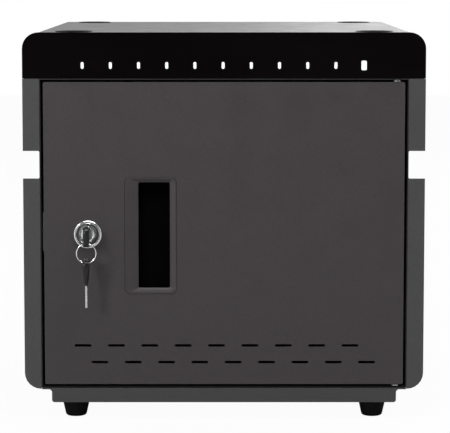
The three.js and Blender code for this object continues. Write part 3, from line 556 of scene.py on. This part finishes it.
HOUSING_PROFILE = [
    (6.95, 17.6), (9.2, 17.6), (9.4, 17.4), (9.4, 0), (13.2, 0), (13.5, -0.3), (13.5, -2.2),
    (13.42, -2.8), (13.2, -3.3), (12.9, -3.65), (12.5, -3.9), (12.1, -4.0), (11.75, -3.95),
    (11.5, -3.75), (11.35, -3.4), (11.0, -3.0), (10.2, -2.55), (9.2, -2.2), (8.2, -2.0), (7.4, -1.95),
    (7.1, -1.9), (6.95, -1.7), (6.95, 17.6),
]
BACKWARDS = (0, 1, 0)
housing = piece("lock_face", *turned(HOUSING_PROFILE, LOCK, BACKWARDS, 128), CHROME, "door", "chrome")
sharpen(housing, 50)
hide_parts("lock_housing")

# ---- keys ----

EYE_REACH = 4.7
EYE_RADIUS = 2.6
BOW_EYE_INSET = 5
BOW_OUTLINE = [
    (-5, 0), (-4.8, 4), (-4.1, 7), (-2.6, 8.8), (0.5, 9.45), (4.5, 9.5), (9, 9.2), (13, 7.9), (17, 5.6),
    (20.4, 4.5),
]
# Each layer is a share of the way from the eye to the rim, and the half thickness there.
BOW_LAYERS = [
    (0.0, 2.0), (0.03, 2.45), (0.1, 2.65), (0.22, 2.75), (0.45, 2.9), (0.68, 2.8), (0.84, 2.35),
    (0.94, 1.75), (0.985, 1.1), (1.0, 0.4),
]


def key_bow(name, eye, down, node, body):
    """A pillow-shaped bow with a long eye, drawn about the eye's middle; it thins towards the shank."""
    corners = BOW_OUTLINE + [(21, 0)] + [(a, -b) for a, b in reversed(BOW_OUTLINE[1:])]
    steps = 96

    def reach(angle, points):
        ray = (math.cos(angle), math.sin(angle))
        best = 0.0
        for (a0, b0), (a1, b1) in zip(points, points[1:] + points[:1]):
            da, db = a1 - a0, b1 - b0
            cross = ray[0] * db - ray[1] * da
            if abs(cross) < 1e-9:
                continue
            far = (a0 * db - b0 * da) / cross
            part = (a0 * ray[1] - b0 * ray[0]) / cross
            if far > 0 and -1e-6 <= part <= 1 + 1e-6:
                best = max(best, far)
        return best

    arc = [math.pi * k / 12 for k in range(13)]
    hole = [(EYE_RADIUS * math.cos(t), EYE_REACH + EYE_RADIUS * math.sin(t)) for t in arc]
    hole += [(-a, -b) for a, b in hole]
    angles = [2 * math.pi * i / steps for i in range(steps)]
    rim = [reach(a, corners) for a in angles]
    rim = [(rim[i - 1] + 2 * rim[i] + rim[(i + 1) % steps]) / 4 for i in range(steps)]
    inner = [reach(a, hole) for a in angles]
    layers = BOW_LAYERS + [(part, -across) for part, across in reversed(BOW_LAYERS)]
    vertices = []
    for part, across in layers:
        for angle, start, end in zip(angles, inner, rim):
            far = start + (end - start) * part
            along, off = far * math.cos(angle), far * math.sin(angle)
            thin = 1 - 0.42 * min(1, max(0, (along - 2) / 18)) ** 1.3
            place = Vector((across * thin, off, -along)) if down else Vector((across * thin, along, off))
            vertices.append(eye + place * MM)
    faces = strips(len(layers), steps, closed=True)
    bow = piece(name, vertices, faces, KEY_PLASTIC, body, "key_plastic")
    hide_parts(node)


bow_low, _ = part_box("key_bow")
key_eye = Vector((LOCK.x, bow_low.y + BOW_EYE_INSET * MM, LOCK.z))
key_bow("key_head", key_eye, False, "key_bow", "lock_core")
_, spare_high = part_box("spare_key_bow")
spare_eye = Vector((LOCK.x, middle_of("spare_key_bow").y, spare_high.z - BOW_EYE_INSET * MM))
key_bow("spare_key_head", spare_eye, True, "spare_key_bow", "spare_key")


def split_ring():
    """Two full turns of flattened spring wire, one in front of the other."""
    ring_low, ring_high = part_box("key_ring")
    radius = (ring_high.x - ring_low.x) / 2 - 0.6 * MM
    points = []
    turns, steps = 2, 72
    for i in range(turns * steps + 1):
        part = i / steps
        turn = 2 * math.pi * part + 0.9
        shift = (-0.48 if part < 0.9 else -0.48 + 0.96 * min(1, (part - 0.9) / 0.2)) * MM
        points.append(RING + Vector((radius * math.cos(turn), shift, radius * math.sin(turn))))
    made = piece("split_ring", *swept(points, 0.5, 12, flatten=1.1), CHROME, "ring", "chrome")
    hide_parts("key_ring")


split_ring()

# ---- screws ----


def screw(name, place, outward, radius=3.0, height=1.7):
    """A pan-head screw in the cabinet: a domed head with a cross recess."""
    axis = Vector(outward).normalized()
    side = axis.orthogonal().normalized()
    other = axis.cross(side)
    rings, steps = 14, 48
    vertices = []
    for k in range(rings + 1):
        part = k / rings
        for i in range(steps):
            turn = 2 * math.pi * i / steps
            u, v = part * math.cos(turn), part * math.sin(turn)
            up = height * (1 - part**3.2) ** 0.55 if part < 1 else 0.0
            if min(abs(u), abs(v)) < 0.13 and part < 0.6:
                up -= height * 0.75 * (1 - part / 0.62)
            vertices.append(Vector(place) + (side * u + other * v) * radius * MM + axis * up * MM)
    faces = strips(rings + 1, steps)
    faces.append([rings * steps + i for i in range(steps)])
    made = piece(name, vertices, faces, PLATED_STEEL, "cabinet", "plated_steel")
    weld = made.modifiers.new("weld", "WELD")
    weld.merge_threshold = WELD_DISTANCE
    sharpen(made, 40)


for hand, x in (("left", -SIDE_X), ("right", SIDE_X)):
    for number, back in enumerate((0.06, 0.19, 0.32)):
        screw(f"cover_screw_{hand}_{number + 1}", (x, FRONT_Y + back, TOP_Z - 6 * MM), (x, 0, 0))
for number, x in enumerate((-0.15, 0, 0.15)):
    screw(f"rear_top_screw_{number + 1}", (x, REAR_Y, TOP_Z - 8 * MM), BACKWARDS)
    screw(f"rear_low_screw_{number + 1}", (x, REAR_Y, rear_low.z + 7 * MM), BACKWARDS)

guard_low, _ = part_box("fan_guard")
FAN_HOLE_OUT = 35.75 * MM
LUG_THICKNESS = 2


def fan_corners(centre):
    """The four corners of the guard round a centre, where it lies on the rear panel."""
    corners = []
    for a, b in ((-1, -1), (1, -1), (1, 1), (-1, 1)):
        corners.append(Vector((centre.x + a * FAN_HOLE_OUT, guard_low.y, centre.z + b * FAN_HOLE_OUT)))
    return corners


for number, corner in enumerate(fan_corners(middle_of("fan_frame"))):
    spot = corner + Vector(BACKWARDS) * LUG_THICKNESS * MM
    screw(f"fan_screw_{number + 1}", spot, BACKWARDS, radius=2.9, height=1.1)

FOOT_RECESS = 2.6
for end, hand in CORNERS:
    spot = middle_of(f"foot_{end}_{hand}")
    spot.z = FOOT_RECESS * MM
    screw(f"foot_screw_{end}_{hand}", spot, (0, 0, -1), radius=2.9, height=1.4)

# ---- small fittings at the back and on the USB row ----


def rounded_bar(name, low, high, material, body, radius):
    """A bar between two corners, in metres, with every edge rounded over."""
    mesh = bpy.data.meshes.new(name)
    work = bmesh.new()
    bmesh.ops.create_cube(work, size=1)
    centre, size = (Vector(low) + Vector(high)) / 2, Vector(high) - Vector(low)
    bmesh.ops.scale(work, vec=size, verts=work.verts)
    bmesh.ops.translate(work, vec=centre, verts=work.verts)
    bmesh.ops.bevel(
        work, geom=list(work.edges), offset=radius * MM, segments=3, profile=0.5,
        affect="EDGES", clamp_overlap=True,
    )
    work.to_mesh(mesh)
    work.free()
    return place_mesh(mesh, material, body)


inlet = middle_of("inlet_socket")
PIN_FRONT, PIN_BACK = FRONT_Y + 359.5 * MM, FRONT_Y + 371.6 * MM
for name, x, z in (("earth", 0, 3), ("live", -7, -1), ("neutral", 7, -1)):
    low = (inlet.x + (x - 1.15) * MM, PIN_FRONT, inlet.z + (z - 2.15) * MM)
    high = (inlet.x + (x + 1.15) * MM, PIN_BACK, inlet.z + (z + 2.15) * MM)
    rounded_bar(f"inlet_pin_{name}", low, high, PLATED_STEEL, "cabinet", 0.6)


def rounded_loop(half_width, half_height, radius, steps=6):
    """Points round a rectangle with round corners, in mm."""
    points = []
    for quarter, (a, b) in enumerate(((1, 1), (-1, 1), (-1, -1), (1, -1))):
        x, y = a * (half_width - radius), b * (half_height - radius)
        for k in range(steps + 1):
            turn = math.pi / 2 * (quarter + k / steps)
            points.append((x + radius * math.cos(turn), y + radius * math.sin(turn)))
    return points


row_low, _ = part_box("usb_port_row")
PORT_Z = middle_of("usb_port_row").z
# Sections of a port's shell, from its root over the lip to its throat: half width, half height, corner
# radius and how far back it lies.
PORT_SECTIONS = [
    (6.55, 3.55, 0.9, 2.2), (6.55, 3.55, 0.9, -0.05), (6.4, 3.4, 0.8, -0.2), (4.75, 1.85, 1.2, -0.2),
    (4.5, 1.6, 1.1, 0.0), (4.42, 1.52, 1.05, 0.5), (4.42, 1.52, 1.05, 2.2),
]


def usb_port(number):
    """A plated shell with a tongue in its mouth, midway between two dividers."""
    middle = (middle_of(f"divider_{number}").x + middle_of(f"divider_{number + 1}").x) / 2
    centre = Vector((middle, row_low.y, PORT_Z))
    vertices = []
    for half_width, half_height, radius, back in PORT_SECTIONS:
        for a, b in rounded_loop(half_width, half_height, radius):
            vertices.append(centre + Vector((a, back, b)) * MM)
    faces = strips(len(PORT_SECTIONS), len(vertices) // len(PORT_SECTIONS), closed=True)
    shell = piece(f"usb_shell_{number}", vertices, faces, PLATED_STEEL, "cabinet", "plated_steel")
    sharpen(shell, 40)
    low = centre + Vector((-3.4, 1.0, -0.45)) * MM
    high = centre + Vector((3.4, 6.5, 0.45)) * MM
    rounded_bar(f"usb_tongue_{number}", low, high, BLACK_PLASTIC, "cabinet", 0.2)


for number in range(PORTS):
    usb_port(number + 1)

# ---- fan ----

rotor_low, rotor_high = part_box("fan_rotor")
FAN = middle_of("fan_rotor")
ROTOR_HALF = (rotor_high.y - rotor_low.y) / 2 / MM
HUB_PROFILE = [
    (0, ROTOR_HALF), (9.5, ROTOR_HALF), (13.6, ROTOR_HALF - 0.25), (15.2, ROTOR_HALF - 1.0),
    (15.9, ROTOR_HALF - 2.4), (16, ROTOR_HALF - 4), (16, -ROTOR_HALF), (13.5, -ROTOR_HALF),
    (13.5, -ROTOR_HALF + 4), (1.9, -ROTOR_HALF + 4), (1.9, -ROTOR_HALF + 12), (0, -ROTOR_HALF + 12),
]
hub = piece("fan_hub", *turned(HUB_PROFILE, FAN, BACKWARDS, 72), BLACK_PLASTIC, "fan", "black_plastic")
sharpen(hub, 40)
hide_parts("fan_rotor")


BLADES = 7
BLADE_ROOT, BLADE_SPAN = 15.5, 20.2


def blade_point(out, part, face, start):
    """A point on a blade's front or back, by its share of the span and of the chord."""
    radius = BLADE_ROOT + BLADE_SPAN * out
    pitch = math.radians(50 - 18 * out)
    along = (part - 0.5) * (17 + 7 * out)
    bulge = 1 - (2 * part - 1) ** 2
    thick = 0.12 + 0.62 * math.sqrt(max(0, bulge)) * (1 - 0.35 * out)
    rise = 1.6 * bulge + face * thick
    across = along * math.cos(pitch) - rise * math.sin(pitch)
    back = along * math.sin(pitch) + rise * math.cos(pitch) - 0.6
    turn = start + across / radius + 0.22 * out
    return FAN + Vector((radius * math.cos(turn), back, radius * math.sin(turn))) * MM


def fan_blade(name, start):
    """A swept blade that flattens from its root to its tip and is thin at both edges."""
    rows, columns = 8, 12
    wide, size = columns + 1, (rows + 1) * (columns + 1)
    vertices = []
    for face in (1, -1):
        for r in range(rows + 1):
            for c in range(wide):
                vertices.append(blade_point(r / rows, c / columns, face, start))
    faces = []
    for side in (0, size):
        for r in range(rows):
            for c in range(columns):
                a = side + r * wide + c
                faces.append([a, a + 1, a + 1 + wide, a + wide])
    edge = list(range(wide))
    edge += [r * wide + columns for r in range(1, rows + 1)]
    edge += [rows * wide + c for c in range(columns - 1, -1, -1)]
    edge += [r * wide for r in range(rows - 1, 0, -1)]
    for a, b in zip(edge, edge[1:] + edge[:1]):
        faces.append([a, b, b + size, a + size])
    piece(name, vertices, faces, BLACK_PLASTIC, "fan", "black_plastic")


for number in range(BLADES):
    fan_blade(f"fan_blade_{number + 1}", 2 * math.pi * number / BLADES)

# The guard: a washer at each screw, four rings and two bent spokes.
WIRE_Y = guard_low.y + 1.0 * MM
WIRE_RADIUS = 0.8
LUG_PROFILE = [
    (2.1, 0), (3.9, 0), (4, 0.15), (4, 1.6), (3.8, 1.9), (3.4, LUG_THICKNESS), (2.6, LUG_THICKNESS),
    (2.2, 1.9), (2.1, 1.7), (2.1, 0),
]
# How far along each axis a spoke's point lies, and how far it stands off the rings.
SPOKE_PATH = [(-33.6, 0), (-30, 0.1), (-26, 0.55), (-8, 0.6), (8, 0.6), (26, 0.55), (30, 0.1), (33.6, 0)]
for number, corner in enumerate(fan_corners(FAN)):
    solid = turned(LUG_PROFILE, corner, BACKWARDS, 40)
    sharpen(piece(f"guard_lug_{number + 1}", *solid, CHROME, "cabinet", "chrome"), 40)


def guard_ring(number, radius):
    """One round of the guard's wire."""
    steps = 72
    points = []
    for i in range(steps):
        turn = 2 * math.pi * i / steps
        x = FAN.x + radius * MM * math.cos(turn)
        points.append(Vector((x, WIRE_Y, FAN.z + radius * MM * math.sin(turn))))
    wire = swept(points, WIRE_RADIUS, closed=True)
    return piece(f"guard_ring_{number}", *wire, CHROME, "cabinet", "chrome")


rings = [guard_ring(number + 1, radius) for number, radius in enumerate((11, 20, 29, 38))]
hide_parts("fan_guard")
for number, (a, b) in enumerate(((1, 1), (1, -1))):
    path = [Vector((FAN.x + a * d * MM, WIRE_Y + lift * MM, FAN.z + b * d * MM)) for d, lift in SPOKE_PATH]
    piece(f"guard_spoke_{number + 1}", *swept(path, WIRE_RADIUS), CHROME, "cabinet", "chrome")

# ---- marks on the rocker: a bar for on and a ring for off ----

_, rocker_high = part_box("power_rocker")
ROCKER = middle_of("power_rocker")
ROCKER.y = rocker_high.y
# The two halves of the face meet in a bend a little above the middle, and slope away from it.
BEND_UP, BEND_DEPTH = 0.25, -1.8


def on_rocker(up, across, lift):
    """A point on the rocker's face at a height above its middle, in mm; the lower half stands out."""
    depth = BEND_DEPTH - 0.047 * up if up > BEND_UP else BEND_DEPTH - 0.243 * (up - BEND_UP)
    return ROCKER + Vector((across, depth + lift, up)) * MM


def rocker_marks():
    """A bar on the lower half for on, and a ring on the upper half for off."""
    bar = rounded_loop(0.3, 1.6, 0.3, 4)
    vertices = []
    for size, lift in ((1, -0.1), (1, 0.04), (0.8, 0.08)):
        vertices += [on_rocker(-3.7 + up * size, across * size, lift) for across, up in bar]
    count = len(bar)
    faces = [list(range(count)), list(range(2 * count, 3 * count))]
    faces += strips(3, count)
    piece("rocker_mark_on", vertices, faces, MARK_WHITE, "rocker", "rocker_plastic")
    steps, radius = 40, 1.5
    points = []
    for i in range(steps):
        turn = 2 * math.pi * i / steps
        points.append(on_rocker(4.2 + radius * math.sin(turn), radius * math.cos(turn), -0.1))
    ring = swept(points, 0.2, 8, closed=True)
    piece("rocker_mark_off", *ring, MARK_WHITE, "rocker", "rocker_plastic")


rocker_marks()

# ---- floor ----

FLOOR_RADIUS = 5.0
# The share of plain white that the camera sees mixed into the paper.
FLOOR_WHITE = 0.96


def make_floor():
    """A round sheet of white paper, bright enough to run into the white behind it."""
    mesh = bpy.data.meshes.new("floor")
    steps = 96
    rim = []
    for i in range(steps):
        turn = 2 * math.pi * i / steps
        rim.append((FLOOR_RADIUS * math.cos(turn), FLOOR_RADIUS * math.sin(turn), 0))
    mesh.from_pydata(rim, [], [list(range(steps))])
    floor = bpy.data.objects.new("floor", mesh)
    paper = Surface("paper", (0.5, 0.5, 0.5), 0.9, specular=0.1)
    paper.tint(paper.noise(3, 2.0), 0.01)
    tree = paper.tree
    white = tree.nodes.new("ShaderNodeEmission")
    white.inputs["Color"].default_value = (1, 1, 1, 1)
    path = tree.nodes.new("ShaderNodeLightPath")
    share = paper.math("MULTIPLY", path.outputs["Is Camera Ray"], FLOOR_WHITE)
    mix = tree.nodes.new("ShaderNodeMixShader")
    paper.link(share, mix.inputs["Fac"])
    paper.link(paper.shader.outputs[0], mix.inputs[1])
    paper.link(white.outputs[0], mix.inputs[2])
    paper.link(mix.outputs[0], tree.nodes["Material Output"].inputs["Surface"])
    mesh.materials.append(paper.material)
    scene.collection.objects.link(floor)


make_floor()
